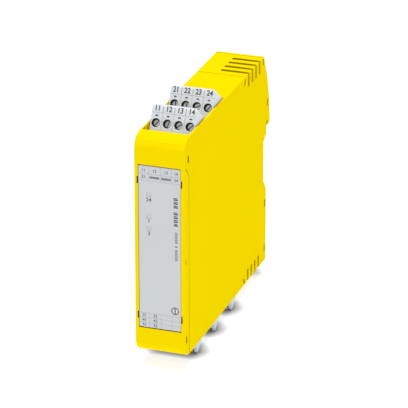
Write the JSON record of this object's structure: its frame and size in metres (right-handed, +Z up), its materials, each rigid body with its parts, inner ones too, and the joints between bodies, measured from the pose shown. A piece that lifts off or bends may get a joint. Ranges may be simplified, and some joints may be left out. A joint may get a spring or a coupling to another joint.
{
  "type": "safety relay",
  "caption": "Slim yellow rail-mounted safety relay module with tilted grey plug-in screw connectors above and below and a sprung foot latch for the mounting rail.",
  "frame": {"origin": "on the standing surface, under the middle of the bounding box", "axes": "+Z up, -Y towards the labelled front, +Y towards the rail, X across the narrow width"},
  "size_m": [0.0222, 0.115, 0.1122],
  "materials": {
    "housing": "fine satin moulded yellow",
    "cover": "fine satin moulded yellow",
    "label": "matt printed film, light grey",
    "light_guide": "clear moulded, polished ends",
    "plug": "satin moulded light grey",
    "header": "satin moulded grey",
    "screw": "zinc plated, slotted",
    "clamp": "nickel plated sheet",
    "contact": "tin plated copper alloy",
    "board": "green solder mask on glass-fibre board",
    "relay": "satin moulded cream case",
    "transformer": "black wound core in tape",
    "chip": "black moulded",
    "capacitor": "dark sleeve on aluminium can",
    "lamp": "clear lamp body",
    "latch": "satin moulded dark grey",
    "spring": "drawn spring wire"
  },
  "bodies": {
    "base": {"housing": "housing", "front_cover": "cover", "label_plate": "label", "light_guides": "light_guide", "circuit_board": "board", "safety_contact_relay_1": "relay", "safety_contact_relay_2": "relay", "isolating_transformer": "transformer", "controller_chips": "chip", "smoothing_capacitors": "capacitor", "status_lamps": "lamp", "header_top_front": "header", "header_pins_top_front": "contact", "header_top_rear": "header", "header_pins_top_rear": "contact", "header_bottom_front": "header", "header_pins_bottom_front": "contact", "header_bottom_middle": "header", "header_pins_bottom_middle": "contact", "header_bottom_rear": "header", "header_pins_bottom_rear": "contact", "latch_spring": "spring"},
    "plug_top_front": {"plug_top_front": "plug", "clamp_screws_top_front": "screw", "clamp_cages_top_front": "clamp", "contacts_top_front": "contact"},
    "plug_top_rear": {"plug_top_rear": "plug", "clamp_screws_top_rear": "screw", "clamp_cages_top_rear": "clamp", "contacts_top_rear": "contact"},
    "plug_bottom_front": {"plug_bottom_front": "plug", "clamp_screws_bottom_front": "screw", "clamp_cages_bottom_front": "clamp", "contacts_bottom_front": "contact"},
    "plug_bottom_middle": {"plug_bottom_middle": "plug", "clamp_screws_bottom_middle": "screw", "clamp_cages_bottom_middle": "clamp", "contacts_bottom_middle": "contact"},
    "plug_bottom_rear": {"plug_bottom_rear": "plug", "clamp_screws_bottom_rear": "screw", "clamp_cages_bottom_rear": "clamp", "contacts_bottom_rear": "contact"},
    "foot": {"rail_latch": "latch"}
  },
  "joints": [
    {"name": "plug_top_front_slide", "type": "slide", "parent": "base", "child": "plug_top_front", "axis": [0, 0.4617, 0.887], "range_m": [0, 0.012]},
    {"name": "plug_top_rear_slide", "type": "slide", "parent": "base", "child": "plug_top_rear", "axis": [0, 0.4617, 0.887], "range_m": [0, 0.012]},
    {"name": "plug_bottom_front_slide", "type": "slide", "parent": "base", "child": "plug_bottom_front", "axis": [0, 0.4617, -0.887], "range_m": [0, 0.012]},
    {"name": "plug_bottom_middle_slide", "type": "slide", "parent": "base", "child": "plug_bottom_middle", "axis": [0, 0.4617, -0.887], "range_m": [0, 0.012]},
    {"name": "plug_bottom_rear_slide", "type": "slide", "parent": "base", "child": "plug_bottom_rear", "axis": [0, 0.4617, -0.887], "range_m": [0, 0.012]},
    {"name": "rail_latch_slide", "type": "slide", "parent": "base", "child": "foot", "axis": [0, 0, -1], "range_m": [0, 0.003], "stiffness_N_per_m": 1500, "springref_m": -0.002, "deforming": ["latch_spring"]}
  ]
}
